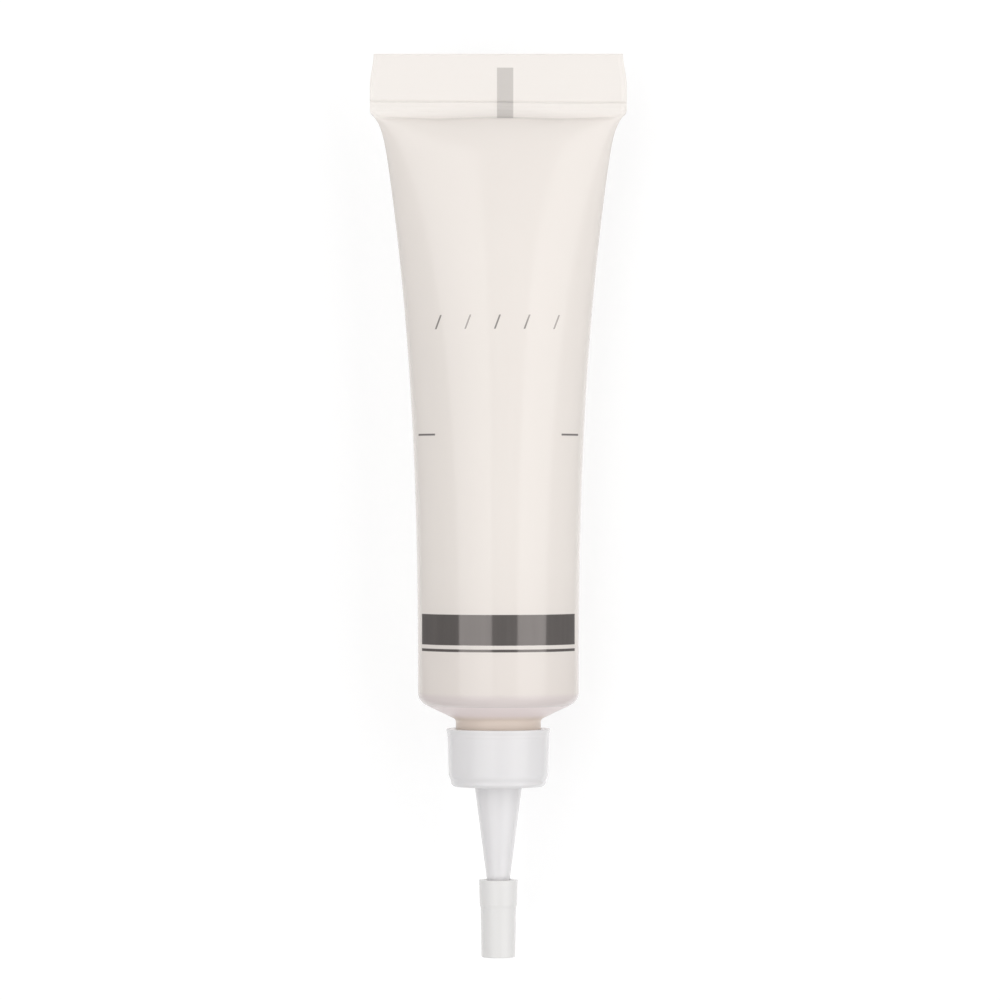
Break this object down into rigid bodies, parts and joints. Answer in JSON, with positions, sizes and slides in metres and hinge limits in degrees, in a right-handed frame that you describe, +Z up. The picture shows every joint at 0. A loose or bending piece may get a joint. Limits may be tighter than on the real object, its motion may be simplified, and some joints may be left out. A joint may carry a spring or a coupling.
{
  "type": "squeeze tube with nozzle",
  "caption": "Soft squeeze tube of repair paste with a flat welded tail, a round shoulder, a screw-on tapered nozzle and a small push-on tip cap.",
  "frame": {"origin": "on the table, under the middle of the tube's length and width", "axes": "+Y along the tube from the tip cap to the welded tail, +Z up from the table to the printed front, +X to the right in the picture"},
  "size_m": [0.0294, 0.103, 0.0182],
  "materials": {
    "sleeve_film": "milky translucent film, glossy, grey print lines",
    "head_plastic": "milky moulded plastic, tinted by the paste behind it",
    "paste": "warm white smooth paste",
    "nozzle_plastic": "white moulded plastic, satin",
    "cap_plastic": "white moulded plastic, satin"
  },
  "bodies": {
    "tube": {"tube_sleeve": "sleeve_film", "tube_head": "head_plastic", "repair_paste": "paste"},
    "nozzle": {"nozzle_cap": "nozzle_plastic"},
    "cap": {"tip_cap": "cap_plastic"}
  },
  "joints": [
    {"name": "nozzle_lift", "type": "slide", "parent": "tube", "child": "nozzle", "axis": [0, -1, 0], "range_m": [0, 0.01]},
    {"name": "cap_pull", "type": "slide", "parent": "nozzle", "child": "cap", "axis": [0, -1, 0], "range_m": [0, 0.01]}
  ]
}
